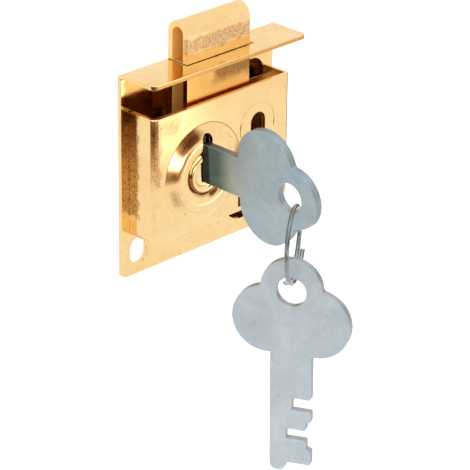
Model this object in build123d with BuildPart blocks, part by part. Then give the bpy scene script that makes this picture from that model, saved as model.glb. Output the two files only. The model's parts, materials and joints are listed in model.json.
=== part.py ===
from build123d import *
from math import cos, pi, radians, sin, sqrt
import os

os.makedirs("parts", exist_ok=True)

# A mailbox door lock, in millimetres. X runs to the right, Y to the back and Z up.
# The plate's front face is at Y = 0 and its bottom edge at Z = 0.
sheet = 0.8
slip = 0.05

# Plate and its top flange
plate_width = 38.1
plate_height = 39.41
flange_reach = 8.35
bend_inside = 0.15
plate_corner = 0.9
bolt_slot = (-7.9, 8.95, -5.15)
screw_slot = (-15.05, 4.5, 4.0, 5.1)
screw_hole = (11.3, 7.0, 4.4)
window = (10.9, 16.6, 29.9, 33.75)
crease = (1.8, 0.35, 0.2, 0.35)

# Key axis, and the keyways cut for it
key_x = -5.0
key_z = 18.7
rest_turn = 4.0
keyway_radius = 1.9
keyway_width = 2.4
keyway_reach = 6.5
mouth_radius = 4.15
mouth_slot = 2.4
mouth_reach = 7.8
mouth_length = 5.0

# Housing on the plate's front
box_half = 17.2
box_floor = 7.85
box_top = 31.95
box_depth = 6.4
box_corner = 1.2
wall_foot = 8.75
wall_shoulder = 0.5
wall_groove = 0.15
boss_radius = 9.4
crest_radius = 6.1
boss_rise = 1.08
mouth_rise = 0.5
flank_end = (7.5, 0.78)
inner_flank = (8.9, 7.1, 0.85)
inner_crest = (5.95, 1.1)
side_hole = (8.87, 22.75, 3.7, 7.4)
side_slit = (3.95, 5.0, 9.1, 12.1)
coined_ring = (8.7, 24.0, 4.35, 0.2, 0.1)
housing_lugs = [(11.0, 15.0), (20.0, 24.0)]

# Plug and the disc behind it
plug_radius = 4.0
plug_front = -7.25
plug_rim = (0.65, 3.3)
plug_dish = (2.4, 0.45, 0.55)
collar_radius = 5.2
collar = (-6.05, -5.65)
key_slot = 1.8
retainer_radius = 8.48
retainer = (-5.6, -5.2)
retainer_bore = 2.9

# Key
key_thickness = 1.4
shank_width = 7.7
axis_height = 1.5
notch_a = (8.1, 10.5, 4.1)
notch_b = (14.4, 16.4, 3.0)
step_height = 6.8
step_a = 12.7
step_b = 18.3
bit_end = 21.3
tip_end = 23.05
tip_band = (0.05, 2.95)
side_lobe = (-7.1, 4.45, 6.5)
end_lobe = (-13.5, 5.7)
lobe_crease = 0.8
bit_corner = 0.4
tip_corner = 1.2
key_hole = (-12.9, 2.8)
shoulder_y = -15.55

# Ring, and the key that hangs on it
ring_radius = 6.8
ring_wire = 1.0
ring_centre = (key_x - 0.16, -28.95, 12.1)
ring_heading = 32.0
hang_gap = 0.15
spare_heading = -63.4
spare_tilt = 0.78

# Bolt: a strip folded over, with a window for the key under its left part
bolt_left = -7.7
bolt_right = 7.9
bolt_front = -4.9
bolt_back = -0.05
bolt_strip = 1.1
bolt_top = 47.15
bolt_window = 28.6
limb_left = 2.6
front_limb = 17.6
back_limb = 18.5
talon = (-0.4, 20.3, 22.8)
spacer = (-5.4, 7.4, 39.6)
spacer_cap = 0.9
rivet_radius = 0.9
rivet_x = (-3.0, 5.0)
rivet_z = 30.0
stump_x = 5.6
stump_z = 20.4
stump_radius = 1.0
stump_slot = (2.2, 2.3)
stump_reach = 5.7
bolt_travel = 7.4

# Bolt spring on its stepped pin
spring_y = -2.475
spring_radius = 0.95
spring_wire = 0.4
spring_turns = 12
spring_seat = 0.03
pin_base = (1.6, 0.8)
pin_radius = 0.6
pin_top = 19.0

# Cover on the plate's back, round the levers
cover_depth = 7.6
cover_left = -8.5
cover_right = 18.0
cover_top = 34.0
cover_bottom = 1.2
cover_chamfer = (-3.5, 8.0)
cover_corner = 1.4
cover_lugs_left = [(12.0, 15.0), (22.0, 26.0)]
cover_lugs_right = [(16.2, 18.8), (25.2, 28.6)]
cover_lug_top = (0.0, 4.0)
pilot_radius = 1.75

# Levers on their post
post_x = 11.5
post_z = 27.7
post_radius = 1.5
lever_lift = 7.0
lever_layers = [(1.3, 2.4, 5.8), (3.0, 4.1, 6.7), (4.4, 5.5, 6.7)]
belly_centre = (-6.1, 20.6)
gate_width = 2.4
washer_radius = 2.5
washer_layers = [(0.85, 1.25), (2.45, 2.95), (4.15, 4.35), (5.55, 6.75)]
lever_outline_points = [
    (-1.5, 27.5),
    (3.0, 30.5),
    (11.5, 30.9),
    (14.6, 27.7),
    (13.5, 22.0),
    (8.5, 12.5),
    (3.0, 10.0),
    (-0.5, 12.5),
]
leaf = (0.3, 1.0)
leaf_root = 23.0
leaf_foot = 14.0
leaf_start = 12.15
leaf_bend = 14.0
leaf_slit = (12.1, 15.0)


def front_plane(y):
    # Sketch plane that faces the front: its x is X and its y is Z
    return Plane.XZ.offset(-y)


def level_plane(z):
    return Plane.XY.offset(z)


def block(low, high, mode=Mode.ADD):
    # A plain block between two corners, in the part being built
    middle = [(a + b) / 2 for a, b in zip(low, high)]
    with Locations(tuple(middle)):
        Box(*[b - a for a, b in zip(low, high)], mode=mode)


def bar(x0, x1, z0, z1, mode=Mode.ADD):
    # A rectangle between two corners, in the sketch being drawn
    with Locations(((x0 + x1) / 2, (z0 + z1) / 2)):
        Rectangle(x1 - x0, z1 - z0, mode=mode)


def upright_slot(x, z, width, height):
    with Locations((x, z)):
        SlotOverall(height, width, rotation=90)


def about_post(x, z, degrees):
    # The point that the turning lever carries to (x, z)
    dx = x - post_x
    dz = z - post_z
    turn = radians(degrees)
    return (post_x + dx * cos(turn) + dz * sin(turn), post_z - dx * sin(turn) + dz * cos(turn))


# Back plate: the flange, the keyway, the stump's slot and the fixing holes
with BuildPart() as back_plate:
    with BuildSketch(Plane.YZ.offset(-plate_width / 2)) as angle_section:
        with BuildLine():
            Polyline(
                (0, 0),
                (sheet, 0),
                (sheet, plate_height),
                (-flange_reach, plate_height),
                (-flange_reach, plate_height - sheet),
                (0, plate_height - sheet),
                close=True,
            )
        make_face()
        outer = angle_section.vertices().sort_by_distance((sheet, plate_height))[0]
        fillet(outer, bend_inside + sheet)
        inner = angle_section.vertices().sort_by_distance((0, plate_height - sheet))[0]
        fillet(inner, bend_inside)
    extrude(amount=plate_width)
    fillet(back_plate.edges().filter_by(Axis.Z).group_by(Axis.Y)[0], plate_corner)
    fillet(back_plate.edges().filter_by(Axis.Y).group_by(Axis.Z)[0], plate_corner)
    with BuildSketch(front_plane(sheet)):
        with Locations((key_x, key_z)):
            Circle(keyway_radius)
        bar(key_x - keyway_width / 2, key_x + keyway_width / 2, key_z, key_z + keyway_reach)
        upright_slot(stump_x, stump_z - bolt_travel / 2, stump_slot[0], bolt_travel + stump_slot[1])
        upright_slot(*screw_slot)
        with Locations((screw_hole[0], screw_hole[1])):
            Circle(screw_hole[2])
        with Locations((post_x, post_z)):
            Circle(post_radius)
        for low, high in housing_lugs:
            for side in (-1, 1):
                middle = side * (box_half - sheet / 2)
                reach = sheet / 2 + slip
                bar(middle - reach, middle + reach, low - slip, high + slip)
        for low, high in cover_lugs_left:
            bar(cover_left - slip, cover_left + sheet + slip, low - slip, high + slip)
        for low, high in cover_lugs_right:
            bar(cover_right - sheet - slip, cover_right + slip, low - slip, high + slip)
        bar(cover_lug_top[0] - slip, cover_lug_top[1] + slip, cover_top - sheet - slip, cover_top + slip)
    extrude(amount=sheet, mode=Mode.SUBTRACT)
    with BuildSketch(front_plane(sheet)):
        left, right, sill, crown = window
        spring_line = crown - (right - left) / 2
        with BuildLine():
            Polyline((left, spring_line), (left, sill), (right, sill), (right, spring_line))
            ThreePointArc((right, spring_line), ((left + right) / 2, crown), (left, spring_line))
        make_face()
    extrude(amount=sheet, mode=Mode.SUBTRACT)
    reach, above, below, depth = crease
    fold = plate_height - sheet - bend_inside
    with BuildSketch(front_plane(depth)):
        for side in (-1, 1):
            edge = side * plate_width / 2
            with BuildLine():
                tip = (edge - side * reach, fold)
                Polyline((edge, fold + above), tip, (edge, fold - below), close=True)
            make_face()
    extrude(amount=depth + bend_inside, mode=Mode.SUBTRACT)
    slot_left, slot_right, slot_front = bolt_slot
    slot_floor = plate_height - 2 * sheet
    block((slot_left, slot_front, slot_floor), (slot_right, 0, plate_height + 1), Mode.SUBTRACT)
back_plate.part.label = "back_plate"
export_step(back_plate.part, "parts/back_plate.step")

# Housing: an open-topped pan on the plate, with the dished boss round the keyhole
boss_plane = Plane(origin=(key_x, 0, key_z), x_dir=(1, 0, 0), z_dir=(0, 0, 1))
key_axis = Axis((key_x, 0, key_z), (0, 1, 0))
with BuildPart() as housing:
    with BuildSketch(level_plane(box_floor)):
        bar(-box_half, box_half, -box_depth, 0)
    extrude(amount=box_top - box_floor)
    fillet(housing.edges().filter_by(Axis.Z).group_by(Axis.Y)[0], box_corner)
    front_foot = housing.edges().filter_by(Axis.X).group_by(Axis.Z)[0].sort_by(Axis.Y)[0]
    fillet(front_foot, sheet)
    with BuildSketch(boss_plane):
        face = -box_depth
        inlet = face + sheet / 2
        mouth = (mouth_radius, face - mouth_rise)
        flank = (flank_end[0], face - flank_end[1])
        with BuildLine():
            Polyline((0, mouth[1]), (0, inlet), (boss_radius, inlet), (boss_radius, face), flank)
            ThreePointArc(flank, (crest_radius, face - boss_rise), mouth)
            Line(mouth, (0, mouth[1]))
        make_face()
    revolve(axis=key_axis)
    with BuildSketch(level_plane(box_floor + sheet)) as hollow:
        inside = box_half - sheet
        bar(-inside, inside, -box_depth + sheet, 0)
        fillet(hollow.vertices().group_by(Axis.Y)[0], box_corner - sheet)
    extrude(amount=box_top - box_floor, mode=Mode.SUBTRACT)
    with BuildSketch(boss_plane):
        face = sheet - box_depth
        outer, bend, rise = inner_flank
        mouth = (mouth_radius, face - mouth_rise)
        with BuildLine():
            inlet = face + sheet / 2
            flank = (bend, face - rise)
            Polyline((0, mouth[1]), (0, inlet), (outer, inlet), (outer, face), flank)
            ThreePointArc(flank, (inner_crest[0], face - inner_crest[1]), mouth)
            Line(mouth, (0, mouth[1]))
        make_face()
    revolve(axis=key_axis, mode=Mode.SUBTRACT)
    with BuildSketch(front_plane(-box_depth + 1)):
        with Locations((key_x, key_z)):
            Circle(mouth_radius)
        upright_slot(key_x, key_z + mouth_reach - mouth_length / 2, mouth_slot, mouth_length)
        upright_slot(*side_hole)
        bar(*side_slit)
    extrude(amount=3, mode=Mode.SUBTRACT)
    coin_x, coin_z, coin_radius, coin_width, coin_depth = coined_ring
    with BuildSketch(front_plane(-box_depth + coin_depth)):
        with Locations((coin_x, coin_z)):
            Circle(coin_radius + coin_width / 2)
            Circle(coin_radius - coin_width / 2, mode=Mode.SUBTRACT)
    extrude(amount=coin_depth, mode=Mode.SUBTRACT)
    for side in (-1, 1):
        ends = sorted((side * (box_half - sheet), side * (box_half + 1)))
        block((ends[0], box_corner - box_depth, box_floor - 1), (ends[1], 1, wall_foot), Mode.SUBTRACT)
    rear_edges = housing.edges().filter_by_position(Axis.Y, -0.01, 0.01)
    fillet(rear_edges.filter_by(Axis.X).group_by(Axis.Z)[-1], wall_shoulder)
    rear_edges = housing.edges().filter_by_position(Axis.Y, -0.01, 0.01).filter_by(Axis.Z)
    chamfer(rear_edges.group_by(Axis.X)[0] + rear_edges.group_by(Axis.X)[-1], wall_groove)
    for low, high in housing_lugs:
        for side in (-1, 1):
            middle = side * (box_half - sheet / 2)
            block((middle - sheet / 2, 0, low), (middle + sheet / 2, sheet, high))
housing.part.label = "housing"
export_step(housing.part, "parts/housing.step")

# Key plug: a slotted head with a collar behind the boss
with BuildPart() as key_plug:
    with BuildSketch(boss_plane):
        with BuildLine():
            front, back = collar
            rim = (plug_radius, plug_front + plug_rim[0])
            dish = (plug_dish[0], plug_front + plug_dish[1])
            Polyline((0, back), (collar_radius, back), (collar_radius, front), (plug_radius, front), rim)
            ThreePointArc(rim, (plug_rim[1], plug_front), dish)
            Polyline(dish, (0, plug_front + plug_dish[2]), (0, back))
        make_face()
    revolve(axis=key_axis)
    with BuildSketch(front_plane(collar[1] + 0.1)):
        slot_low = -axis_height - 2 * slip
        slot_high = collar_radius + 1
        with Locations(Location((key_x, key_z), rest_turn)):
            with Locations((0, (slot_low + slot_high) / 2)):
                Rectangle(key_slot, slot_high - slot_low, mode=Mode.ADD)
    extrude(amount=3, mode=Mode.SUBTRACT)
key_plug.part.label = "key_plug"
export_step(key_plug.part, "parts/key_plug.step")

# Plug retainer: the disc that closes the boss behind the plug
with BuildPart() as plug_retainer:
    with BuildSketch(front_plane(retainer[1])):
        with Locations((key_x, key_z)):
            Circle(retainer_radius)
            Circle(retainer_bore, mode=Mode.SUBTRACT)
        half = keyway_width / 2
        bar(key_x - half, key_x + half, key_z, key_z + keyway_reach, Mode.SUBTRACT)
    extrude(amount=retainer[1] - retainer[0])
plug_retainer.part.label = "plug_retainer"
export_step(plug_retainer.part, "parts/plug_retainer.step")


def make_key(plane, name):
    # In the sketch x runs from the shoulder to the tip, and y from the smooth edge to the bits
    with BuildPart() as blank:
        with BuildSketch(plane.offset(-key_thickness / 2)) as outline:
            centre = shank_width / 2
            bar(side_lobe[0], bit_end, 0, shank_width)
            bar(bit_end - 1, tip_end, *tip_band)
            for side in (-1, 1):
                with Locations((side_lobe[0], centre + side * side_lobe[1])):
                    Circle(side_lobe[2])
            with Locations((end_lobe[0], centre)):
                Circle(end_lobe[1])
            bar(notch_a[0], notch_a[1], notch_a[2], shank_width + 1, Mode.SUBTRACT)
            bar(notch_b[0], notch_b[1], notch_b[2], shank_width + 1, Mode.SUBTRACT)
            bar(step_a, notch_b[0], step_height, shank_width + 1, Mode.SUBTRACT)
            bar(notch_b[1], step_b, step_height, shank_width + 1, Mode.SUBTRACT)
            creases = outline.vertices().filter_by_position(Axis.X, end_lobe[0], side_lobe[0] - 2)
            fillet(creases, lobe_crease)
            corners = outline.vertices().filter_by_position(Axis.X, notch_a[0] - 0.1, bit_end + 0.1)
            fillet(corners.filter_by_position(Axis.Y, step_height - 0.1, shank_width + 0.1), bit_corner)
            fillet(outline.vertices().group_by(Axis.X)[-1], tip_corner)
            with Locations((key_hole[0], centre)):
                Circle(key_hole[1], mode=Mode.SUBTRACT)
        extrude(amount=key_thickness)
    blank.part.label = name
    export_step(blank.part, "parts/" + name + ".step")
    return blank.part


# The key rests turned by the play that the keyway leaves it
play = radians(rest_turn)
key_up = Vector(-sin(play), 0, cos(play))
key_normal = Vector(cos(play), 0, sin(play))
key_origin = Vector(key_x, shoulder_y, key_z) - key_up * axis_height
key_plane = Plane(origin=key_origin, x_dir=(0, 1, 0), z_dir=key_normal)
key_solid = make_key(key_plane, "key")

# Key ring: one loop of wire through both keys
heading = radians(ring_heading)
ring_side = Vector(cos(heading), sin(heading), 0)
ring_plane = Plane(origin=ring_centre, x_dir=ring_side, z_dir=(0, 0, 1))
with BuildPart() as key_ring:
    with BuildSketch(ring_plane):
        with Locations((ring_radius, 0)):
            Circle(ring_wire / 2)
    revolve(axis=Axis(ring_centre, ring_plane.y_dir))
key_ring.part.label = "key_ring"
export_step(key_ring.part, "parts/key_ring.step")

# Spare key: hangs tip down from the ring's lowest point
wire_low = ring_centre[2] - ring_radius
hang_z = wire_low + ring_wire / 2 - key_hole[1] + hang_gap
bits_heading = radians(spare_heading)
tilt = radians(spare_tilt)
across = Vector(cos(bits_heading), sin(bits_heading), 0)
down = Vector(0, 0, -1)
spare_x = down * cos(tilt) + across * sin(tilt)
spare_y = across * cos(tilt) - down * sin(tilt)
hole_place = Vector(ring_centre[0], ring_centre[1], hang_z)
spare_origin = hole_place - spare_x * key_hole[0] - spare_y * (shank_width / 2)
spare_plane = Plane(origin=spare_origin, x_dir=spare_x, z_dir=spare_x.cross(spare_y))
spare_solid = make_key(spare_plane, "spare_key")

# Latch bolt: the strip folded over, then cut to its two legs, limbs and talon
bolt_radius = (bolt_back - bolt_front) / 2
bolt_middle = (bolt_back + bolt_front) / 2
with BuildPart() as latch_bolt:
    with BuildSketch(Plane.YZ.offset(bolt_left)):
        for radius, mode in ((bolt_radius, Mode.ADD), (bolt_radius - bolt_strip, Mode.SUBTRACT)):
            with Locations((bolt_middle, bolt_top - bolt_radius)):
                Circle(radius, mode=mode)
            bar(bolt_middle - radius, bolt_middle + radius, front_limb, bolt_top - bolt_radius, mode)
    extrude(amount=bolt_right - bolt_left)
    below = front_limb - 1
    block((bolt_left - 1, bolt_front - 1, below), (talon[0], bolt_back + 1, bolt_window), Mode.SUBTRACT)
    talon_left, talon_low, talon_high = talon
    near = bolt_front - 1
    far = bolt_back + 1
    block((talon_left - 1, near, talon_high), (limb_left, far, bolt_window), Mode.SUBTRACT)
    block((talon_left - 1, near, below), (limb_left, far, talon_low), Mode.SUBTRACT)
    block((talon_left - 1, bolt_middle, below), (limb_left, far, bolt_window), Mode.SUBTRACT)
    block((limb_left - 1, bolt_middle, below), (bolt_right + 1, far, back_limb), Mode.SUBTRACT)
    for x in rivet_x:
        with BuildSketch(front_plane(bolt_back)):
            with Locations((x, rivet_z)):
                Circle(rivet_radius)
        extrude(amount=bolt_back - bolt_front, mode=Mode.SUBTRACT)
latch_bolt.part.label = "latch_bolt"
export_step(latch_bolt.part, "parts/latch_bolt.step")

# Bolt spacer between the legs, with a cap as wide as the bolt that closes the fold at the flange
spacer_left, spacer_right, spacer_top = spacer
leg_gap = (bolt_front + bolt_strip, bolt_back - bolt_strip)
with BuildPart() as bolt_spacer:
    block((spacer_left, leg_gap[0], bolt_window), (spacer_right, leg_gap[1], spacer_top))
    block((bolt_left, leg_gap[0], spacer_top - spacer_cap), (bolt_right, leg_gap[1], spacer_top))
    with BuildSketch(front_plane(leg_gap[1])):
        with Locations(*[(x, rivet_z) for x in rivet_x]):
            Circle(rivet_radius)
    extrude(amount=leg_gap[1] - leg_gap[0], mode=Mode.SUBTRACT)
bolt_spacer.part.label = "bolt_spacer"
export_step(bolt_spacer.part, "parts/bolt_spacer.step")

# Bolt rivets, flush with the legs
with BuildPart() as bolt_rivets:
    with BuildSketch(front_plane(bolt_back)):
        with Locations(*[(x, rivet_z) for x in rivet_x]):
            Circle(rivet_radius)
    extrude(amount=bolt_back - bolt_front)
bolt_rivets.part.label = "bolt_rivets"
export_step(bolt_rivets.part, "parts/bolt_rivets.step")

# Bolt stump: set in the back leg, through the plate's slot into the levers' gates
with BuildPart() as bolt_stump:
    with BuildSketch(front_plane(stump_reach)):
        with Locations((stump_x, stump_z)):
            Circle(stump_radius)
    extrude(amount=stump_reach - bolt_back)
bolt_stump.part.label = "bolt_stump"
export_step(bolt_stump.part, "parts/bolt_stump.step")

# Spring pin: a foot on the housing's floor with a thin guide above it
floor_top = box_floor + sheet
with BuildPart() as spring_pin:
    with BuildSketch(level_plane(floor_top)):
        with Locations((stump_x, spring_y)):
            Circle(pin_base[0])
    extrude(amount=pin_base[1])
    with BuildSketch(level_plane(floor_top + pin_base[1])):
        with Locations((stump_x, spring_y)):
            Circle(pin_radius)
    extrude(amount=pin_top - floor_top - pin_base[1])
spring_pin.part.label = "spring_pin"
export_step(spring_pin.part, "parts/spring_pin.step")


def coil_point(turns, rise, base):
    angle = 2 * pi * turns
    x = stump_x + spring_radius * cos(angle)
    y = spring_y + spring_radius * sin(angle)
    return Vector(x, y, base + rise * turns)


def coil_heading(turns, rise):
    angle = 2 * pi * turns
    pitch = rise / (2 * pi)
    return Vector(-spring_radius * sin(angle), spring_radius * cos(angle), pitch).normalized()


def biarc(start, start_heading, end, end_heading):
    # Two arcs that leave the start and reach the end along the headings given
    chord = end - start
    both = start_heading + end_heading
    bend = 2 * (1 - start_heading.dot(end_heading))
    along = chord.dot(both)
    reach = (sqrt(along * along + bend * chord.dot(chord)) - along) / bend
    middle = (start + end + (start_heading - end_heading) * reach) / 2
    middle_heading = (end - end_heading * reach - start - start_heading * reach).normalized()
    TangentArc(start, middle, tangent=start_heading)
    TangentArc(middle, end, tangent=middle_heading)


# Bolt spring: one wire round the pin, each half turn a pair of arcs
spring_low = floor_top + pin_base[1] + spring_seat
spring_high = bolt_window - spring_seat
spring_rise = (spring_high - spring_low - spring_wire) / (spring_turns + 0.08)
spring_base = spring_low + spring_wire / 2 + 0.04 * spring_rise
with BuildPart() as bolt_spring:
    with BuildLine() as spring_line_path:
        first = coil_point(0, spring_rise, spring_base)
        first_heading = coil_heading(0, spring_rise)
        Line(first - first_heading * spring_wire, first)
        for half in range(2 * spring_turns):
            start = half / 2
            end = start + 0.5
            biarc(
                coil_point(start, spring_rise, spring_base),
                coil_heading(start, spring_rise),
                coil_point(end, spring_rise, spring_base),
                coil_heading(end, spring_rise),
            )
        last = coil_point(spring_turns, spring_rise, spring_base)
        last_heading = coil_heading(spring_turns, spring_rise)
        Line(last, last + last_heading * spring_wire)
    with BuildSketch(Plane(origin=first - first_heading * spring_wire, z_dir=first_heading)):
        Circle(spring_wire / 2)
    sweep()
bolt_spring.part.label = "bolt_spring"
export_step(bolt_spring.part, "parts/bolt_spring.step")

coil_steps = 48
coil_points = [coil_point(step / coil_steps, spring_rise, spring_base) for step in range(coil_steps * 3)]
least_gap = min(
    (coil_points[i] - coil_points[j]).length
    for i in range(coil_steps)
    for j in range(i + coil_steps * 3 // 4, len(coil_points))
)
print("bolt spring: least gap between turns %.2f mm" % (least_gap - spring_wire))

# Rear case: a pan over the levers, with lugs through the plate
case_outline = [
    (cover_left, cover_chamfer[1]),
    (cover_chamfer[0], cover_bottom),
    (cover_right, cover_bottom),
    (cover_right, cover_top),
    (cover_left, cover_top),
]
with BuildPart() as rear_case:
    with BuildSketch(front_plane(cover_depth)) as case_section:
        with BuildLine():
            Polyline(*case_outline, close=True)
        make_face()
        fillet(case_section.vertices(), cover_corner)
    extrude(amount=cover_depth - sheet)
    fillet(rear_case.faces().sort_by(Axis.Y)[-1].edges(), 0.7)
    with BuildSketch(front_plane(cover_depth - sheet)) as case_hollow:
        with BuildLine():
            Polyline(*case_outline, close=True)
        make_face()
        fillet(case_hollow.vertices(), cover_corner)
        offset(amount=-sheet, kind=Kind.INTERSECTION)
    extrude(amount=cover_depth - 2 * sheet, mode=Mode.SUBTRACT)
    with BuildSketch(front_plane(cover_depth)):
        with Locations((key_x, key_z)):
            Circle(pilot_radius)
        with Locations((post_x, post_z)):
            Circle(post_radius)
    extrude(amount=2 * sheet, mode=Mode.SUBTRACT)
    for low, high in cover_lugs_left:
        block((cover_left, 0, low), (cover_left + sheet, sheet, high))
    for low, high in cover_lugs_right:
        block((cover_right - sheet, 0, low), (cover_right, sheet, high))
    block((cover_lug_top[0], 0, cover_top - sheet), (cover_lug_top[1], sheet, cover_top))
rear_case.part.label = "rear_case"
export_step(rear_case.part, "parts/rear_case.step")

# Lever post, from the plate's face to the case's back
with BuildPart() as lever_post:
    with BuildSketch(front_plane(cover_depth)):
        with Locations((post_x, post_z)):
            Circle(post_radius)
    extrude(amount=cover_depth)
lever_post.part.label = "lever_post"
export_step(lever_post.part, "parts/lever_post.step")

# Levers: each has its belly over the key, its gate for the stump and a slit for its leaf spring
leaf_thickness, leaf_width = leaf
leaf_wall = cover_right - sheet - leaf_thickness / 2 - 0.02
gate_path = [
    (stump_x, stump_z),
    about_post(stump_x, stump_z - bolt_travel / 2, lever_lift / 2),
    about_post(stump_x, stump_z - bolt_travel, lever_lift),
]
for number, (front, back, belly_radius) in enumerate(lever_layers, start=1):
    with BuildPart() as lever:
        with BuildSketch(front_plane(back)) as lever_outline:
            with BuildLine():
                Polyline(*lever_outline_points, close=True)
            make_face()
            fillet(lever_outline.vertices().filter_by_position(Axis.X, 2.9, 20), 1.0)
            with Locations(belly_centre):
                Circle(belly_radius, mode=Mode.SUBTRACT)
            with Locations((post_x, post_z)):
                Circle(post_radius + slip, mode=Mode.SUBTRACT)
            with BuildLine() as gate_line:
                ThreePointArc(*gate_path)
            SlotArc(gate_line.edges()[0], gate_width, mode=Mode.SUBTRACT)
            bar(*leaf_slit, leaf_root - leaf_thickness / 2, leaf_root + leaf_thickness / 2, Mode.SUBTRACT)
        extrude(amount=back - front)
    name = "lever_%d" % number
    lever.part.label = name
    export_step(lever.part, "parts/" + name + ".step")

    with BuildPart() as leaf_spring:
        centre_y = (front + back) / 2
        with BuildSketch(front_plane(centre_y + leaf_width / 2)):
            bend = leaf_wall - leaf_bend
            with BuildLine():
                Line((leaf_start, leaf_root), (leaf_bend, leaf_root))
                TangentArc((leaf_bend, leaf_root), (leaf_wall, leaf_root - bend), tangent=(1, 0))
                Line((leaf_wall, leaf_root - bend), (leaf_wall, leaf_foot))
            trace(line_width=leaf_thickness)
        extrude(amount=leaf_width)
    name = "lever_spring_%d" % number
    leaf_spring.part.label = name
    export_step(leaf_spring.part, "parts/" + name + ".step")

# Lever washers, on the post between the levers
with BuildPart() as lever_washers:
    for front, back in washer_layers:
        with BuildSketch(front_plane(back)):
            with Locations((post_x, post_z)):
                Circle(washer_radius)
                Circle(post_radius + slip, mode=Mode.SUBTRACT)
        extrude(amount=back - front)
lever_washers.part.label = "lever_washers"
export_step(lever_washers.part, "parts/lever_washers.step")
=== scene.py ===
import json
from math import cos, radians, sin

import bmesh
import bpy
from mathutils import Matrix, Vector


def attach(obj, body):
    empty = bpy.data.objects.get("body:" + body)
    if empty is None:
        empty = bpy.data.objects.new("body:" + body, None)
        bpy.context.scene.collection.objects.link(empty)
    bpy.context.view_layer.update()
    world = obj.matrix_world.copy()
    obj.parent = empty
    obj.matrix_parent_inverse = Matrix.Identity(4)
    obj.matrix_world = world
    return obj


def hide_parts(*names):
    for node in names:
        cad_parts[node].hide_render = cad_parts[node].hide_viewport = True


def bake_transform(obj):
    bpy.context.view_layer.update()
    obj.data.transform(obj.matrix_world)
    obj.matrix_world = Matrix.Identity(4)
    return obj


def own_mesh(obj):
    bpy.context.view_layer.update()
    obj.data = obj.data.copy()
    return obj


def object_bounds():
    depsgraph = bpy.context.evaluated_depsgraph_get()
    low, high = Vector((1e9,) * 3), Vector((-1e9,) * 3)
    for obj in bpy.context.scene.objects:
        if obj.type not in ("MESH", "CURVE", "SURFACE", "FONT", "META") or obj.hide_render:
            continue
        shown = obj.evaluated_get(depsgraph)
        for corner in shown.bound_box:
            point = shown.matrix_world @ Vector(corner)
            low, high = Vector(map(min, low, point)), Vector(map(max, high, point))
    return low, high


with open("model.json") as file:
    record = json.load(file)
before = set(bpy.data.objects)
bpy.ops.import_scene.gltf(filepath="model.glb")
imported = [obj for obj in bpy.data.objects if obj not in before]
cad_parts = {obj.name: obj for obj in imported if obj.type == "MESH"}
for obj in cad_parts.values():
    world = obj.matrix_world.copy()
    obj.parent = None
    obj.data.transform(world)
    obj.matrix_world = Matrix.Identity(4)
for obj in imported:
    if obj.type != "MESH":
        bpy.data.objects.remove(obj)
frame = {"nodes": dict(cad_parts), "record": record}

cadBox = [list(corner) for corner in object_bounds()]
cadNodes = frame["nodes"]
bodyOf = {node: body for body, names in frame["record"]["behaviour"]["bodies"].items() for node in names}
slotOf = {row["node"]: row["material_slot"] for row in frame["record"]["subparts"]}
mm = 0.001
weldDistance = 0.001 * mm


# Camera: the photograph's viewing angle, in degrees, and its lens
camera = {
    "azimuth": -45.578,
    "elevation": 24.854,
    "roll": 0.74,
    "distance": 493.56 * mm,
    "slide": (-7.602 * mm, -2.062 * mm),
    "forward": Vector((0, 1 * mm, 0)),
    "lens": 204.6,
    "sensor": 36,
    "nearest": 0.01,
}


def makeCamera():
    side, up, roll = radians(camera["azimuth"]), radians(camera["elevation"]), radians(camera["roll"])
    back = Vector((sin(side) * cos(up), -cos(side) * cos(up), sin(up)))
    right = Vector((cos(side), sin(side), 0))
    above = back.cross(right)
    rolledRight = right * cos(roll) + above * sin(roll)
    rolledAbove = above * cos(roll) - right * sin(roll)
    slideRight, slideAbove = camera["slide"]
    place = back * camera["distance"] - rolledRight * slideRight - rolledAbove * slideAbove
    place += camera["forward"]
    lensData = bpy.data.cameras.new("photoCamera")
    lensData.lens = camera["lens"]
    lensData.sensor_width = camera["sensor"]
    lensData.clip_start = camera["nearest"]
    item = bpy.data.objects.new("photoCamera", lensData)
    bpy.context.scene.collection.objects.link(item)
    turn = Matrix((rolledRight, rolledAbove, back)).transposed()
    item.matrix_world = Matrix.Translation(place) @ turn.to_4x4()
    bpy.context.scene.camera = item


makeCamera()
print("camera set")


# Node tree helpers
def addNode(tree, kind, **settings):
    node = tree.nodes.new(kind)
    for key, value in settings.items():
        setattr(node, key, value)
    return node


def link(tree, source, target):
    tree.links.new(source, target)


# A socket gets a number, a colour or another node's output
def feed(tree, socket, value):
    if isinstance(value, (int, float)):
        socket.default_value = value
    elif isinstance(value, tuple):
        socket.default_value = (*value, 1)
    elif value is not None:
        link(tree, value, socket)


def mathNode(tree, operation, first, second=None, clamp=False):
    node = addNode(tree, "ShaderNodeMath", operation=operation, use_clamp=clamp)
    feed(tree, node.inputs[0], first)
    feed(tree, node.inputs[1], second)
    return node.outputs[0]


def combine(tree, operation, first, *others):
    for other in others:
        first = mathNode(tree, operation, first, other)
    return first


def add(tree, *parts):
    return combine(tree, "ADD", *parts)


def multiply(tree, *parts):
    return combine(tree, "MULTIPLY", *parts)


def mixColor(tree, factor, first, second):
    node = addNode(tree, "ShaderNodeMix", data_type="RGBA", clamp_factor=True)
    colorSockets = node.inputs[6], node.inputs[7]
    for socket, value in zip((node.inputs[0], *colorSockets), (factor, first, second)):
        feed(tree, socket, value)
    return node.outputs[2]


# Another colour laid over the base colour, where the mask is one
def tint(tree, base, mask, strength, color):
    return mixColor(tree, multiply(tree, mask, strength), base, color)


def rampNode(tree, source, stops):
    node = addNode(tree, "ShaderNodeValToRGB")
    while len(node.color_ramp.elements) < len(stops):
        node.color_ramp.elements.new(0.5)
    for element, (place, value) in zip(node.color_ramp.elements, stops):
        element.position = place
        element.color = (value, value, value, 1) if isinstance(value, (int, float)) else (*value, 1)
    link(tree, source, node.inputs[0])
    return node.outputs[0]


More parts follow.
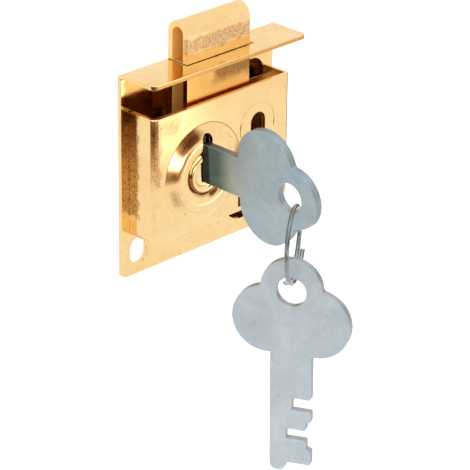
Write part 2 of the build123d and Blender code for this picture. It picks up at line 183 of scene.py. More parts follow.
def noiseNode(tree, vector, scale, detail=2, roughness=0.5, distortion=0):
    node = addNode(tree, "ShaderNodeTexNoise")
    values = {"Scale": scale, "Detail": detail, "Roughness": roughness, "Distortion": distortion}
    link(tree, vector, node.inputs["Vector"])
    for key, value in values.items():
        feed(tree, node.inputs[key], value)
    return node.outputs[0]


# A noise's values moved to lie about zero, and stretched to a size
def swayNode(tree, noise, size):
    return multiply(tree, mathNode(tree, "SUBTRACT", noise, 0.5), size)


def mappingNode(tree, vector, scale=(1, 1, 1), turn=(0, 0, 0), place=(0, 0, 0)):
    node = addNode(tree, "ShaderNodeMapping")
    link(tree, vector, node.inputs[0])
    node.inputs["Location"].default_value = place
    node.inputs["Rotation"].default_value = [radians(angle) for angle in turn]
    node.inputs["Scale"].default_value = scale
    return node.outputs[0]


# Zero at the first limit and one at the second, with a smooth rise between them
def riseNode(tree, value, first, second):
    node = addNode(tree, "ShaderNodeMapRange", interpolation_type="SMOOTHSTEP")
    link(tree, value, node.inputs["Value"])
    feed(tree, node.inputs["From Min"], first)
    feed(tree, node.inputs["From Max"], second)
    return node.outputs[0]


# One where a value lies between two limits, fading over the soft width
def windowNode(tree, value, low, high, soft):
    rising = riseNode(tree, value, low - soft, low + soft)
    falling = riseNode(tree, value, high + soft, high - soft)
    return multiply(tree, rising, falling)


# One inside a box given in millimetres, with fading sides that can be ragged; None leaves an axis open
def boxMask(tree, place, box, soft, ragged=None):
    split = addNode(tree, "ShaderNodeSeparateXYZ")
    link(tree, place, split.inputs[0])
    masks = []
    for axis, limits in zip(split.outputs, box):
        if limits is None:
            continue
        value = axis if ragged is None else add(tree, axis, ragged)
        masks.append(windowNode(tree, value, limits[0] * mm, limits[1] * mm, soft * mm))
    return multiply(tree, *masks)


# One on a thin ring about an axis along Y; all sizes in millimetres
def ringMask(tree, place, centre, radius, halfWidth, soft=0.04):
    moved = mappingNode(tree, place, scale=(1, 0, 1), place=(-centre[0] * mm, 0, -centre[1] * mm))
    reach = addNode(tree, "ShaderNodeVectorMath", operation="LENGTH")
    link(tree, moved, reach.inputs[0])
    inner, outer = (radius - halfWidth) * mm, (radius + halfWidth) * mm
    return windowNode(tree, reach.outputs["Value"], inner, outer, soft * mm)


def newGroup(name, inputs, outputs):
    group = bpy.data.node_groups.new(name, "ShaderNodeTree")
    for label, kind, default in inputs:
        socket = group.interface.new_socket(label, in_out="INPUT", socket_type=kind)
        if default is not None:
            socket.default_value = default
    for label, kind in outputs:
        group.interface.new_socket(label, in_out="OUTPUT", socket_type=kind)
    return group, group.nodes.new("NodeGroupInput"), group.nodes.new("NodeGroupOutput")


def useGroup(tree, group, **values):
    node = addNode(tree, "ShaderNodeGroup", node_tree=group)
    for key, value in values.items():
        feed(tree, node.inputs[key], value)
    return node.outputs[0]


# Fine scratches: thin stretched noise in four directions, only in patches
scratchLook = {
    "lines": (                      # turn in degrees, and scale
        ((20, 35, 12), 900),
        ((-40, 10, 70), 700),
        ((65, -25, -33), 1100),
        ((5, 80, -60), 800),
    ),
    "stretch": (1, 0.018, 0.4),
    "lineRamp": ((0.70, 0), (0.76, 1)),
    "patchScale": 160,
    "patchRamp": ((0.42, 0), (0.62, 1)),
}


def makeScratchGroup():
    group, start, end = newGroup(
        "fineScratches",
        [("Place", "NodeSocketVector", None), ("Density", "NodeSocketFloat", 1.0)],
        [("Mask", "NodeSocketFloat")],
    )
    place = start.outputs["Place"]
    lines = []
    for turn, scale in scratchLook["lines"]:
        stretched = mappingNode(group, place, scale=scratchLook["stretch"], turn=turn)
        lines.append(rampNode(group, noiseNode(group, stretched, scale, detail=1), scratchLook["lineRamp"]))
    patches = rampNode(group, noiseNode(group, place, scratchLook["patchScale"]), scratchLook["patchRamp"])
    mask = multiply(group, combine(group, "MAXIMUM", *lines), patches, start.outputs["Density"])
    link(group, mask, end.inputs["Mask"])
    return group


# Cloudy variation from large to small patches
def makeCloudGroup():
    group, start, end = newGroup(
        "cloudyPatches",
        [
            ("Place", "NodeSocketVector", None), ("Scale", "NodeSocketFloat", 120.0),
            ("Low", "NodeSocketFloat", 0.4), ("High", "NodeSocketFloat", 0.6),
        ],
        [("Mask", "NodeSocketFloat")],
    )
    place, scale, low, high = (start.outputs[key] for key in ("Place", "Scale", "Low", "High"))
    cloud = noiseNode(group, place, scale, detail=5, roughness=0.6, distortion=0.4)
    link(group, riseNode(group, cloud, low, high), end.inputs["Mask"])
    return group


# Tiny pits of several sizes
pitLook = {
    "largest": 0.32,                # radius, as a share of the pits' spacing
    "sharpness": 12,
}


def makePitGroup():
    group, start, end = newGroup(
        "tinyPits",
        [
            ("Place", "NodeSocketVector", None), ("Scale", "NodeSocketFloat", 900.0),
            ("Amount", "NodeSocketFloat", 0.3),
        ],
        [("Mask", "NodeSocketFloat")],
    )
    cells = addNode(group, "ShaderNodeTexVoronoi", feature="F1")
    link(group, start.outputs["Place"], cells.inputs["Vector"])
    link(group, start.outputs["Scale"], cells.inputs["Scale"])
    parts = addNode(group, "ShaderNodeSeparateColor")
    link(group, cells.outputs["Color"], parts.inputs[0])
    size = multiply(group, parts.outputs[0], pitLook["largest"])
    chosen = mathNode(group, "LESS_THAN", parts.outputs[1], start.outputs["Amount"])
    inside = mathNode(group, "SUBTRACT", size, cells.outputs["Distance"])
    sharp = mathNode(group, "MULTIPLY", inside, pitLook["sharpness"], clamp=True)
    link(group, multiply(group, sharp, chosen), end.inputs["Mask"])
    return group


scratchGroup = makeScratchGroup()
cloudGroup = makeCloudGroup()
pitGroup = makePitGroup()


def startMaterial(name):
    material = bpy.data.materials.new(name)
    material.use_nodes = True
    tree = material.node_tree
    tree.nodes.clear()
    output = addNode(tree, "ShaderNodeOutputMaterial")
    surface = addNode(tree, "ShaderNodeBsdfPrincipled")
    link(tree, surface.outputs[0], output.inputs[0])
    place = addNode(tree, "ShaderNodeTexCoord").outputs["Object"]
    return material, tree, surface, place


# The wear that brass and steel share
def wearMasks(tree, place, settings):
    clouds = useGroup(tree, cloudGroup, Place=place, **settings["clouds"])
    fine = useGroup(tree, cloudGroup, Place=place, **settings["fineClouds"])
    scratches = useGroup(tree, scratchGroup, Place=place, Density=settings["scratches"])
    pits = useGroup(tree, pitGroup, Place=place, **settings["pits"])
    return clouds, fine, scratches, pits


def spreadRoughness(tree, settings, mask):
    low, high = settings["roughness"]
    return add(tree, low, multiply(tree, mask, high - low))


def roundedEdge(tree, settings):
    edge = addNode(tree, "ShaderNodeBevel", samples=settings["edgeSamples"])
    edge.inputs["Radius"].default_value = settings["edgeRadius"]
    return edge.outputs[0]


# Fine relief: each mask raised or sunk by its height
def addRelief(tree, surface, edge, settings, masks):
    heights = [multiply(tree, masks[key], height) for key, height in settings["heights"].items()]
    bump = addNode(tree, "ShaderNodeBump")
    bump.inputs["Strength"].default_value = settings["bumpStrength"]
    bump.inputs["Distance"].default_value = settings["bumpDepth"]
    link(tree, add(tree, *heights), bump.inputs["Height"])
    link(tree, edge, bump.inputs["Normal"])
    link(tree, bump.outputs[0], surface.inputs["Normal"])


# Polished brass sheet; boxes, rings and arcs in millimetres
brass = {
    "pale": (0.985, 0.710, 0.355),
    "warm": (0.965, 0.640, 0.275),
    # dark stain for the fine clouds and pits, also used for the painted shade lines along rings
    "stainAndPaintedLight": (0.330, 0.140, 0.045),
    "roughness": (0.08, 0.20),
    "clouds": {"Scale": 70, "Low": 0.35, "High": 0.68},
    "fineClouds": {"Scale": 420, "Low": 0.40, "High": 0.75},
    "scratches": 0.8,
    "pits": {"Scale": 1300, "Amount": 0.10},
    "grainScale": 1500,
    "grainStretch": (1, 1, 0.04),
    "peelScale": 3600,
    "speckleScale": 5200,
    "fineStain": 0.08,
    "pitStain": 0.5,
    "scratchRoughness": 0.15,
    "heights": {"scratches": -0.5, "grain": 0.5, "peel": 1.1, "pits": -1},
    "bumpStrength": 0.22,
    "bumpDepth": 0.015 * mm,
    "edgeRadius": 0.12 * mm,
    "edgeSamples": 4,
    "dullBoxes": (),                # duller faces whose colour is painted reflection: an orange glow for light bounced inside hollows, a darker colour for a dark line
    "dullSoft": 0.1,
    "dullRoughness": 0.42,
    "dullMetal": 0.7,
    "dullReflectionColor": (0.95, 0.52, 0.16),
    "paintedReflectionBoxes": (),             # painted reflections and shade: box, soft width, colour, strength and how speckled
    "reflectionDepth": None,           # the patches' limits along Y, where they show on one face only
    "reflectionSpots": (0.38, 0.58),   # where the speckles start and end
    "reflectionContrast": 0.8,
    "wanderScale": 700,             # the ragged sides of the painted patches and arcs
    "wanderReach": 2.2 * mm,
    "rings": (),                    # painted shade lines along creases, steps and gaps: centre, radius, half width, strength, and a box or None
    "ringBoxSoft": 0.8,
    "reflectionArcs": (),                   # painted dark reflections along a ring: centre, radius, half width, soft width, strength, box
    "reflectionArcColor": (0.20, 0.10, 0.06),
    "reflectionArcSpots": ((0.36, 0.25), (0.60, 1)),
    "reflectionArcBoxSoft": 1.0,
}
keyholeCentre = (-5, 18.7)
windowCentre = (8.7, 24.0)

housingBrass = dict(
    brass,
    # the housing's inner faces: duller, painted saturated orange as the glow of light bounced inside
    dullBoxes=(((-16.4, 16.4), (-5.75, 2), (7, 33)),),
    # painted reflections: brown at the front's upper left, a dark streak down the rounded corner, a dark band
    # on the left wall
    paintedReflectionBoxes=(
        (((-16.6, -10.5), (-9, -5.2), (28, 31.6)), 1.2, (0.46, 0.21, 0.07), 0.60, 1),
        (((-16.7, -15.4), (-9, -5.2), (19, 31)), 0.4, (0.36, 0.15, 0.04), 0.70, 1),
        (((-18, -16.6), (-2.4, 0.5), (12, 33)), 0.4, (0.18, 0.06, 0.01), 0.80, 0.8),
    ),
    # painted dark reflections on the boss's flank, above and below the highlight
    reflectionArcs=(
        (keyholeCentre, 8.1, 0.5, 0.5, 0.75, ((-13, -5.5), None, (21.2, 29))),
        (keyholeCentre, 8.0, 0.6, 0.6, 0.65, ((-14.5, -10.5), None, (14.0, 17.4))),
    ),
    # painted shade lines: the boss's outer crease, its inner step, the window's coined ring and the keyhole's
    # rim
    rings=(
        (keyholeCentre, 9.45, 0.08, 0.8, ((-15, 5), None, (19, 29))),
        (keyholeCentre, 9.45, 0.05, 0.15, None),
        (keyholeCentre, 7.3, 0.08, 0.2, ((-15, 5), None, (9, 18))),
        (windowCentre, 4.35, 0.10, 0.45, ((3.5, 6.0), None, (17, 26))),
        (keyholeCentre, 4.35, 0.15, 0.5, None),
    ),
)
plugBrass = dict(
    brass,
    # painted shade: a shadow crescent in the gap at the plug's lower left, and a thin darker line at radius 2.4
    rings=(
        (keyholeCentre, 3.75, 0.30, 1.0, ((-9.5, -4.2), None, (13, 19.3))),
        (keyholeCentre, 2.4, 0.1, 0.4, None),
    ),
)
boltBrass = dict(
    brass,
    # the bolt's hollow: duller and less metallic, painted saturated orange as the glow of light bounced inside
    dullBoxes=(((-9, 9), (-3.85, -1.1), (20, 46.1)),),
    dullMetal=0.25,
    dullReflectionColor=(0.98, 0.60, 0.13),
    # painted reflections: a mottled band near the top and orange on the lower front; painted shadow under the
    # flange at the right
    paintedReflectionBoxes=(
        (((-9, 9), (-9, -4.0), (41.3, 43.9)), 0.4, (0.50, 0.22, 0.10), 0.80, 1),
        (((-9, 9), (-9, -4.0), (26, 39.0)), 0.3, (0.80, 0.33, 0.03), 0.70, 0.1),
        (((-1.0, 9), (-9, -4.0), (34.5, 39.0)), 1.0, (0.16, 0.05, 0.01), 0.75, 0.25),
    ),
)
plateBrass = dict(
    brass,
    # the flange's front edge: duller, with a painted dark reflection line
    dullBoxes=(((-20, 20), (-9, -8.2), (38, 39.25)),),
    dullRoughness=0.25,
    dullMetal=1,
    dullReflectionColor=(0.70, 0.36, 0.10),
    # painted reflection and shade on the front above the housing's left part: orange, darker lower down
    paintedReflectionBoxes=(
        (((-18.4, -8.2), None, (30, 38.2)), 0.4, (0.62, 0.28, 0.04), 0.90, 0.3),
        (((-18.4, -8.2), None, (30, 36.0)), 1.0, (0.16, 0.06, 0.02), 0.60, 1),
    ),
    reflectionDepth=(-2, 0.4),
)
leverBrass = dict(brass, pale=(0.72, 0.52, 0.24), warm=(0.60, 0.40, 0.17), roughness=(0.28, 0.45))


# Painted reflections and painted shade: patches, lines along rings and dark arcs, laid over the base colour
def paintReflectionsAndShade(tree, place, settings, base):
    speckle = noiseNode(tree, place, settings["speckleScale"], detail=3)
    wander = swayNode(tree, noiseNode(tree, place, settings["wanderScale"], detail=3), settings["wanderReach"])
    first, last = settings["reflectionSpots"]
    for box, soft, stainAndPaintedLight, strength, speckled in settings["paintedReflectionBoxes"]:
        spots = rampNode(tree, speckle, ((first, 1 - settings["reflectionContrast"] * speckled), (last, 1)))
        patch = multiply(tree, boxMask(tree, place, box, soft, wander), spots, strength)
        if settings["reflectionDepth"]:
            depthBox = (None, settings["reflectionDepth"], None)
            patch = multiply(tree, patch, boxMask(tree, place, depthBox, settings["dullSoft"]))
        base = mixColor(tree, patch, base, stainAndPaintedLight)
    for centre, radius, halfWidth, strength, box in settings["rings"]:
        line = ringMask(tree, place, centre, radius, halfWidth)
        if box:
            line = multiply(tree, line, boxMask(tree, place, box, settings["ringBoxSoft"]))
        base = tint(tree, base, line, strength, settings["stainAndPaintedLight"])
    for centre, radius, halfWidth, soft, strength, box in settings["reflectionArcs"]:
        darkArc = multiply(
            tree, ringMask(tree, place, centre, radius, halfWidth, soft),
            boxMask(tree, place, box, settings["reflectionArcBoxSoft"], wander),
            rampNode(tree, speckle, settings["reflectionArcSpots"]),
        )
        base = tint(tree, base, darkArc, strength, settings["reflectionArcColor"])
    return base


def makeBrass(name, settings):
    material, tree, surface, place = startMaterial(name)
    clouds, fine, scratches, pits = wearMasks(tree, place, settings)
    drawnOut = mappingNode(tree, place, scale=settings["grainStretch"])
    grain = noiseNode(tree, drawnOut, settings["grainScale"], detail=3)
    peel = noiseNode(tree, place, settings["peelScale"])
    base = mixColor(tree, clouds, settings["pale"], settings["warm"])
    base = tint(tree, base, fine, settings["fineStain"], settings["stainAndPaintedLight"])
    base = tint(tree, base, pits, settings["pitStain"], settings["stainAndPaintedLight"])
    # painted reflections and shade
    base = paintReflectionsAndShade(tree, place, settings, base)
    rough = spreadRoughness(tree, settings, fine)
    rough = add(tree, rough, multiply(tree, scratches, settings["scratchRoughness"]))
    surface.inputs["Metallic"].default_value = 1
    # duller, rougher faces that take the painted reflection colour
    for box in settings["dullBoxes"]:
        dull = boxMask(tree, place, box, settings["dullSoft"])
        rough = mathNode(tree, "MAXIMUM", rough, multiply(tree, dull, settings["dullRoughness"]))
        base = mixColor(tree, dull, base, settings["dullReflectionColor"])
        metal = mathNode(tree, "SUBTRACT", 1, multiply(tree, dull, 1 - settings["dullMetal"]))
        link(tree, metal, surface.inputs["Metallic"])
    link(tree, base, surface.inputs["Base Color"])
    link(tree, rough, surface.inputs["Roughness"])
    masks = {"scratches": scratches, "grain": grain, "peel": peel, "pits": pits}
    addRelief(tree, surface, roundedEdge(tree, settings), settings, masks)
    return material


# Dull steel of the keys
keySteel = {
    "pale": (0.562, 0.625, 0.662),
    "dark": (0.470, 0.532, 0.568),
    # dark colour for real grime in scratches and pits, and for the painted shade on the sides and edges
    "grimeAndShade": (0.085, 0.100, 0.110),
    "metal": 0.85,
    "roughness": (0.36, 0.50),
    "clouds": {"Scale": 150, "Low": 0.30, "High": 0.72},
    "fineClouds": {"Scale": 900, "Low": 0.35, "High": 0.75},
    "scratches": 1.0,
    "pits": {"Scale": 2100, "Amount": 0.08},
    "fineDark": 0.35,
    "scratchGrime": 0.12,
    "pitGrime": 0.5,
    "heights": {"scratches": -0.6, "pits": -1.0, "fine": 0.5},
    "bumpStrength": 0.35,
    "bumpDepth": 0.02 * mm,
    "edgeRadius": 0.20 * mm,
    "edgeSamples": 6,
    "edgeRamp": ((0.90, 1), (0.985, 0)),
    # painted shade: a dark line along the sheared sides' rims
    "edgeShade": 0.65,
    "edgeHighlight": 0.35,              # painted highlight: a bright line along the flat faces' rounded edges
    "highlightColor": (0.93, 0.97, 1.00),
    "sideShade": 0.34,              # painted shade: how much darker the sheared sides are painted than the flat faces
    "shadeBoxes": (),               # painted shade: box in millimetres, soft width, strength, colour
}
# the spare key's steel painted darker as shade from the housing, with a stronger painted edge highlight
shadedKeySteel = dict(
    keySteel,
    pale=(0.428, 0.508, 0.552),
    dark=(0.352, 0.432, 0.474),
    edgeHighlight=0.70,
    shadeBoxes=(
        (((-9, 0), (-12.5, -4), (5, 32)), 2.2, 0.85, (0.045, 0.135, 0.175)),     # painted shade on the shank near the housing
        (((-9, 0), (-8.7, -6.0), (5, 32)), 0.3, 0.9, (0.020, 0.022, 0.024)),     # painted shadow of the dark keyway at the slot's mouth
    ),
)
ringSteel = dict(
    keySteel,
    pale=(0.40, 0.45, 0.47),
    dark=(0.14, 0.17, 0.18),
    metal=0.8,
    roughness=(0.16, 0.30),
    edgeRadius=0.05 * mm,
)
pinSteel = dict(
    keySteel,
    pale=(0.50, 0.49, 0.47),
    dark=(0.30, 0.29, 0.28),
    metal=1,
    roughness=(0.25, 0.45),
    edgeRadius=0.08 * mm,
)


# The flat faces' direction: the one that holds the most of the mesh
def flatNormal(item):
    areas = {}
    for face in item.data.polygons:
        side = tuple(round(value, 2) for value in face.normal)
        areas[side] = areas.get(side, 0) + face.area
    return Vector(max(areas, key=areas.get))


# Painted shade on the sheared sides and along their rims, and a painted highlight along the flat faces' edges
def edgeColor(tree, settings, flat, edge, base):
    facing = addNode(tree, "ShaderNodeVectorMath", operation="DOT_PRODUCT")
    link(tree, addNode(tree, "ShaderNodeTexCoord").outputs["Normal"], facing.inputs[0])
    facing.inputs[1].default_value = flat
    turned = addNode(tree, "ShaderNodeVectorMath", operation="DOT_PRODUCT")
    link(tree, edge, turned.inputs[0])
    link(tree, addNode(tree, "ShaderNodeNewGeometry").outputs["True Normal"], turned.inputs[1])
    side = mathNode(tree, "SUBTRACT", 1, mathNode(tree, "ABSOLUTE", facing.outputs["Value"]), clamp=True)
    rim = rampNode(tree, turned.outputs["Value"], settings["edgeRamp"])
    sideRim = multiply(tree, rim, side)
    faceRim = mathNode(tree, "SUBTRACT", rim, sideRim, clamp=True)
    base = tint(tree, base, side, settings["sideShade"], settings["grimeAndShade"])
    base = tint(tree, base, sideRim, settings["edgeShade"], settings["grimeAndShade"])
    return tint(tree, base, faceRim, settings["edgeHighlight"], settings["highlightColor"])


def makeSteel(name, settings, flat=None):
    material, tree, surface, place = startMaterial(name)
    clouds, fine, scratches, pits = wearMasks(tree, place, settings)
    base = mixColor(tree, clouds, settings["pale"], settings["dark"])
    base = tint(tree, base, fine, settings["fineDark"], settings["dark"])
    base = tint(tree, base, scratches, settings["scratchGrime"], settings["grimeAndShade"])
    base = tint(tree, base, pits, settings["pitGrime"], settings["grimeAndShade"])
    # painted shade, box by box
    for box, soft, strength, color in settings["shadeBoxes"]:
        base = tint(tree, base, boxMask(tree, place, box, soft), strength, color)
    edge = roundedEdge(tree, settings)
    # painted shade on the sides and a painted highlight along the edges
    if flat:
        base = edgeColor(tree, settings, flat, edge, base)
    surface.inputs["Metallic"].default_value = settings["metal"]
    link(tree, base, surface.inputs["Base Color"])
    link(tree, spreadRoughness(tree, settings, fine), surface.inputs["Roughness"])
    addRelief(tree, surface, edge, settings, {"scratches": scratches, "pits": pits, "fine": fine})
    return material


# By node where one has a finish of its own, and by slot for the others
materials = {
    "back_plate": makeBrass("plateBrass", plateBrass),
    "housing": makeBrass("housingBrass", housingBrass),
    "latch_bolt": makeBrass("boltBrass", boltBrass),
    "key_plug": makeBrass("plugBrass", plugBrass),
    "key": makeSteel("shadedKeySteel", shadedKeySteel, flatNormal(cadNodes["key"])),
    "polished_brass": makeBrass("polishedBrass", brass),
    "lever_brass": makeBrass("leverBrass", leverBrass),
    "key_steel": makeSteel("keySteel", keySteel, flatNormal(cadNodes["spare_key"])),
    "ring_wire": makeSteel("ringWire", ringSteel),
    "spring_steel": makeSteel("springSteel", pinSteel),
    "pin_steel": makeSteel("pinSteel", pinSteel),
}

for nodeName, item in cadNodes.items():
    item.data.materials.clear()
    item.data.materials.append(materials.get(nodeName, materials[slotOf[nodeName]]))
for nodeName in ("key", "spare_key"):
    cadNodes[nodeName].visible_glossy = False      # their grey reflections would cover half of the brass front
print("finishes on the CAD nodes")


# A new piece: the bmesh becomes an object that rides on a body, if one is given, and takes a slot's finish
def addPiece(name, bm, body, slot, replaced, smooth=True):
    bmesh.ops.remove_doubles(bm, verts=bm.verts, dist=weldDistance)
    bmesh.ops.recalc_face_normals(bm, faces=bm.faces)
    for face in bm.faces:
        face.smooth = smooth
    mesh = bpy.data.meshes.new(name)
    bm.to_mesh(mesh)
    bm.free()
    mesh.materials.append(materials[slot])
    piece = bpy.data.objects.new(name, mesh)
    bpy.context.scene.collection.objects.link(piece)
    if body:
        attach(piece, body)
    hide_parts(replaced)
    return piece


def openEdges(bm):
    return [edge for edge in bm.edges if edge.is_boundary]


# Key ring: one length of wire whose ends lie side by side; sizes in millimetres, angles in degrees
keyRing = {
    "centre": (-5.16, -28.95, 12.1),
    "radius": 6.8,
    "wire": 0.86,
    "heading": 32,
    "firstEnd": -30,                # angle round the ring, from its right side
    "lap": 92,                      # how far the two ends pass each other
    "rise": 1.04,                   # sideways step of a whole turn, in wire widths
    "steps": 120,
    "wireSides": 14,
    "endBevel": 0.12,
}


def makeKeyRing():
    bm = bmesh.new()
    heading = radians(keyRing["heading"])
    across = Vector((cos(heading), sin(heading), 0))
    axis = Vector((-sin(heading), cos(heading), 0))
    centre = Vector(keyRing["centre"]) * mm
    sweep = 360 + keyRing["lap"]
    pitch = keyRing["wire"] * keyRing["rise"] * mm / 360
    start = radians(keyRing["firstEnd"])
    outward = across * cos(start) + Vector((0, 0, sin(start)))
    disc = bmesh.ops.create_circle(bm, segments=keyRing["wireSides"], radius=keyRing["wire"] / 2 * mm)
    turn = Matrix((outward, axis, outward.cross(axis))).transposed().to_4x4()
    place = Matrix.Translation(centre + outward * keyRing["radius"] * mm - axis * pitch * sweep / 2)
    bmesh.ops.transform(bm, matrix=place @ turn, verts=disc["verts"])
    bmesh.ops.spin(
        bm, geom=bm.verts[:] + bm.edges[:], cent=centre, axis=axis,
        dvec=axis * pitch * sweep / keyRing["steps"], angle=radians(sweep), steps=keyRing["steps"],
        use_merge=False, use_duplicate=False,
    )
    caps = bmesh.ops.holes_fill(bm, edges=openEdges(bm), sides=0)["faces"]
    rims = [edge for face in caps for edge in face.edges]
    bmesh.ops.bevel(
        bm, geom=rims, offset=keyRing["endBevel"] * mm, segments=2, profile=0.5, affect="EDGES", material=-1,
    )
    piece = addPiece("keyRingWire", bm, bodyOf["key_ring"], slotOf["key_ring"], "key_ring")
    piece.visible_glossy = False


makeKeyRing()
print("key ring wound")


# Bolt spring: a coil round its pin, which closes up as the bolt goes down; here it is wound at full length
# only; sizes in millimetres
boltSpring = {
    "centre": (5.6, -2.475),
    "bottom": 9.48,
    "top": 28.57,
    "radius": 0.95,
    "wire": 0.4,
    "turns": 12,
    "stepsPerTurn": 24,
    "wireSides": 10,
    "keep": 0.61,                   # share of its length left when the bolt is down
}


def makeBoltSpring():
    bm = bmesh.new()
    wire = boltSpring["wire"] * mm
    turns = boltSpring["turns"]
    steps = turns * boltSpring["stepsPerTurn"]
    centre = Vector((*boltSpring["centre"], 0)) * mm
    low = boltSpring["bottom"] * mm + wire / 2
    rise = (boltSpring["top"] - boltSpring["bottom"]) * mm - wire
    disc = bmesh.ops.create_circle(bm, segments=boltSpring["wireSides"], radius=wire / 2)
    place = Matrix.Translation(centre + Vector((boltSpring["radius"] * mm, 0, low)))
    bmesh.ops.transform(bm, matrix=place @ Matrix.Rotation(radians(90), 4, "X"), verts=disc["verts"])
    bmesh.ops.spin(
        bm, geom=bm.verts[:] + bm.edges[:], cent=centre, axis=(0, 0, 1), dvec=(0, 0, rise / steps),
        angle=radians(360 * turns), steps=steps, use_merge=False, use_duplicate=False,
    )
    bmesh.ops.holes_fill(bm, edges=openEdges(bm), sides=0)
    piece = addPiece("boltSpringWire", bm, bodyOf["bolt_spring"], slotOf["bolt_spring"], "bolt_spring")
    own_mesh(piece)


makeBoltSpring()
print("bolt spring wound")


# Lever springs: flat strips held in the levers, whose feet stay against the rear case's wall; here built in one
# fixed shape that rides on no body
leverLeaf = {
    "start": 12.15 * mm,            # the strip's way along X, from the lever to the wall
    "bend": 14.0 * mm,
    "wall": 17.03 * mm,
    "root": 23.0 * mm,              # its heights at the lever and at the foot
    "foot": 14.0 * mm,
    "thickness": 0.3 * mm,
    "width": 1.0 * mm,
    "depths": (1.85 * mm, 3.55 * mm, 4.95 * mm),
    "straightSteps": 3,
    "bendSteps": 12,
    "legSteps": 4,
}


def stretchLoop(bm, edges, move, steps):
    for step in range(steps):
        grown = bmesh.ops.extrude_edge_only(bm, edges=edges)["geom"]
        corners = [part for part in grown if isinstance(part, bmesh.types.BMVert)]
        bmesh.ops.translate(bm, vec=move / steps, verts=corners)
        edges = [part for part in grown if isinstance(part, bmesh.types.BMEdge) and part.is_boundary]
    return edges


def makeLeverLeaf(number, depth):
    node = f"lever_spring_{number}"
    start, bend, wall, root, foot = (leverLeaf[key] for key in ("start", "bend", "wall", "root", "foot"))
    centre = Vector((bend, depth, root - (wall - bend)))
    bm = bmesh.new()
    bmesh.ops.create_grid(bm, x_segments=1, y_segments=1, size=0.5)
    bmesh.ops.delete(bm, geom=bm.faces[:], context="FACES_ONLY")
    turn = Matrix(((0, 0, 1), (leverLeaf["width"], 0, 0), (0, leverLeaf["thickness"], 0))).to_4x4()
    bmesh.ops.transform(bm, matrix=Matrix.Translation((start, depth, root)) @ turn, verts=bm.verts)
    loop = stretchLoop(bm, bm.edges[:], Vector((bend - start, 0, 0)), leverLeaf["straightSteps"])
    turned = bmesh.ops.spin(
        bm, geom=loop + list({vert for edge in loop for vert in edge.verts}), cent=centre, axis=(0, 1, 0),
        angle=radians(90), steps=leverLeaf["bendSteps"], use_merge=False, use_duplicate=False,
    )["geom_last"]
    loop = [part for part in turned if isinstance(part, bmesh.types.BMEdge)]
    stretchLoop(bm, loop, Vector((0, 0, foot - centre.z)), leverLeaf["legSteps"])
    bmesh.ops.holes_fill(bm, edges=openEdges(bm), sides=0)
    piece = addPiece(f"leverLeaf{number}", bm, None, slotOf[node], node, smooth=False)
    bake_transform(piece)


for number, depth in enumerate(leverLeaf["depths"], start=1):
    makeLeverLeaf(number, depth)
print("lever springs bent")


# Floor, lamps and world; lengths in metres
studio = {
    "floorGap": 3 * mm,
    "floorHalf": 4.0,
    "floorColor": (0.9, 0.9, 0.9),
    "floorRoughness": 0.9,
    "floorGlow": 0.25,
    "worldColor": (0.85, 0.85, 0.85),
    "backdrop": (1, 1, 1),
    "lampTarget": (0, -0.01, 0.01),
    "lamps": {                                       # place, size, power in watts
        "topSoftbox": ((-0.1, -0.25, 0.55), (0.9, 0.9), 2.7),
        "leftSoftbox": ((-0.55, -0.25, 0.2), (0.5, 0.8), 1.4),
    },
    "middle": (0, 0, 20 * mm),                       # the point that the cards stand round
    "wobbleScale": 9,                                # the cards' ragged edges
    "wobbleSize": 0.07,
    "cardColors": ((0, (0.05, 0.018, 0.008)), (0.5, (0.68, 0.42, 0.24)), (1, (1, 1, 1))),
    "darkCards": {                                   # azimuth and elevation in degrees, soft width, level
        "behindCamera": ((-112, -20), (-20, 50), 2, 0.06),
        "ahead": ((-16, 32), (4, 35), 4, 0.10),
        "floorStrip": ((-14, 14), (-20, -11), 3, 0.15),
        "betweenLights": ((15, 28), (-17, -6), 2, 0.30),
        "rightSide": ((82, 122), (-26, 8), 4, 0.10),
    },
    "brightCards": {                                 # the same, with the light that each adds
        "window": ((-4, 14), (-9, 1), 2, 3.5),
        "sheet": ((31, 41), (-22.5, -14), 2, 1.0),
    },
}


# Cards round the object, which only metal shows; azimuth 0 is straight ahead of the lock's front
def cardMask(tree, azimuth, elevation, across, upward, soft):
    sideways = windowNode(tree, azimuth, radians(across[0]), radians(across[1]), radians(soft))
    upright = windowNode(tree, elevation, radians(upward[0]), radians(upward[1]), radians(soft))
    return multiply(tree, sideways, upright)


def makeCardGroup():
    group, start, end = newGroup(
        "studioCards", [("Direction", "NodeSocketVector", None)], [("Color", "NodeSocketColor")]
    )
    unit = addNode(group, "ShaderNodeVectorMath", operation="NORMALIZE")
    link(group, start.outputs["Direction"], unit.inputs[0])
    split = addNode(group, "ShaderNodeSeparateXYZ")
    link(group, unit.outputs[0], split.inputs[0])
    ragged = noiseNode(group, unit.outputs[0], studio["wobbleScale"], detail=4, roughness=0.65)
    wobble = swayNode(group, ragged, studio["wobbleSize"])
    azimuth = mathNode(group, "ARCTAN2", split.outputs[0], multiply(group, split.outputs[1], -1))
    azimuth = add(group, azimuth, wobble)
    elevation = add(group, mathNode(group, "ARCSINE", split.outputs[2]), wobble)
    levels = []
    for across, upward, soft, dark in studio["darkCards"].values():
        card = cardMask(group, azimuth, elevation, across, upward, soft)
        levels.append(mathNode(group, "SUBTRACT", 1, multiply(group, card, 1 - dark)))
    color = rampNode(group, multiply(group, *levels), studio["cardColors"])
    for across, upward, soft, light in studio["brightCards"].values():
        card = cardMask(group, azimuth, elevation, across, upward, soft)
        glare = addNode(group, "ShaderNodeVectorMath", operation="SCALE")
        link(group, color, glare.inputs[0])
        link(group, add(group, 1, multiply(group, card, light)), glare.inputs["Scale"])
        color = glare.outputs[0]
    link(group, color, end.inputs["Color"])
    return group


cardGroup = makeCardGroup()


# One for the rays that metal and glass send out
def mirrorRays(tree, paths):
    return mathNode(tree, "MAXIMUM", paths.outputs["Is Glossy Ray"], paths.outputs["Is Transmission Ray"])


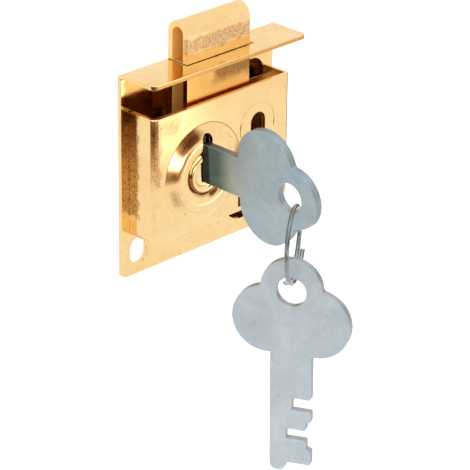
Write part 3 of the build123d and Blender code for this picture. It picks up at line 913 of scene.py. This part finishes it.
def makeFloor():
    low = cadBox[0][2] - studio["floorGap"]
    mesh = bpy.data.meshes.new("floor")
    bm = bmesh.new()
    bmesh.ops.create_grid(bm, x_segments=1, y_segments=1, size=studio["floorHalf"])
    bmesh.ops.translate(bm, verts=bm.verts, vec=(0, 0, low))
    bm.to_mesh(mesh)
    bm.free()
    floor = bpy.data.objects.new("floor", mesh)
    bpy.context.scene.collection.objects.link(floor)
    material, tree, surface, place = startMaterial("paleFloor")
    surface.inputs["Base Color"].default_value = (*studio["floorColor"], 1)
    surface.inputs["Roughness"].default_value = studio["floorRoughness"]
    surface.inputs["Specular IOR Level"].default_value = 0
    paths = addNode(tree, "ShaderNodeLightPath")
    lift = addNode(tree, "ShaderNodeEmission")
    lift.inputs["Strength"].default_value = studio["floorGlow"]
    seen = addNode(tree, "ShaderNodeAddShader")
    link(tree, surface.outputs[0], seen.inputs[0])
    link(tree, lift.outputs[0], seen.inputs[1])
    glow = addNode(tree, "ShaderNodeEmission")
    spot = addNode(tree, "ShaderNodeNewGeometry").outputs["Position"]
    direction = addNode(tree, "ShaderNodeVectorMath", operation="SUBTRACT")
    direction.inputs[1].default_value = studio["middle"]
    link(tree, spot, direction.inputs[0])
    link(tree, useGroup(tree, cardGroup, Direction=direction.outputs[0]), glow.inputs["Color"])
    choice = addNode(tree, "ShaderNodeMixShader")
    link(tree, mirrorRays(tree, paths), choice.inputs[0])
    link(tree, seen.outputs[0], choice.inputs[1])
    link(tree, glow.outputs[0], choice.inputs[2])
    link(tree, choice.outputs[0], tree.nodes["Material Output"].inputs[0])
    mesh.materials.append(material)


def makeWorld():
    world = bpy.data.worlds.new("studio")
    bpy.context.scene.world = world
    world.use_nodes = True
    tree = world.node_tree
    tree.nodes.clear()
    output = addNode(tree, "ShaderNodeOutputWorld")
    paths = addNode(tree, "ShaderNodeLightPath")
    direction = addNode(tree, "ShaderNodeTexCoord").outputs["Generated"]
    cards = useGroup(tree, cardGroup, Direction=direction)
    color = mixColor(tree, mirrorRays(tree, paths), studio["worldColor"], cards)
    color = mixColor(tree, paths.outputs["Is Camera Ray"], color, studio["backdrop"])
    shade = addNode(tree, "ShaderNodeBackground")
    link(tree, color, shade.inputs["Color"])
    link(tree, shade.outputs[0], output.inputs[0])


def addLamp(name, place, size, power):
    data = bpy.data.lights.new(name, "AREA")
    data.shape = "RECTANGLE"
    data.size, data.size_y = size
    data.energy = power
    lamp = bpy.data.objects.new(name, data)
    bpy.context.scene.collection.objects.link(lamp)
    lamp.location = place
    aim = Vector(studio["lampTarget"]) - Vector(place)
    lamp.rotation_euler = aim.to_track_quat("-Z", "Y").to_euler()


makeFloor()
makeWorld()
for lampName, (place, size, power) in studio["lamps"].items():
    addLamp(lampName, place, size, power)
print("studio set")

bpy.context.scene.view_settings.view_transform = "Standard"
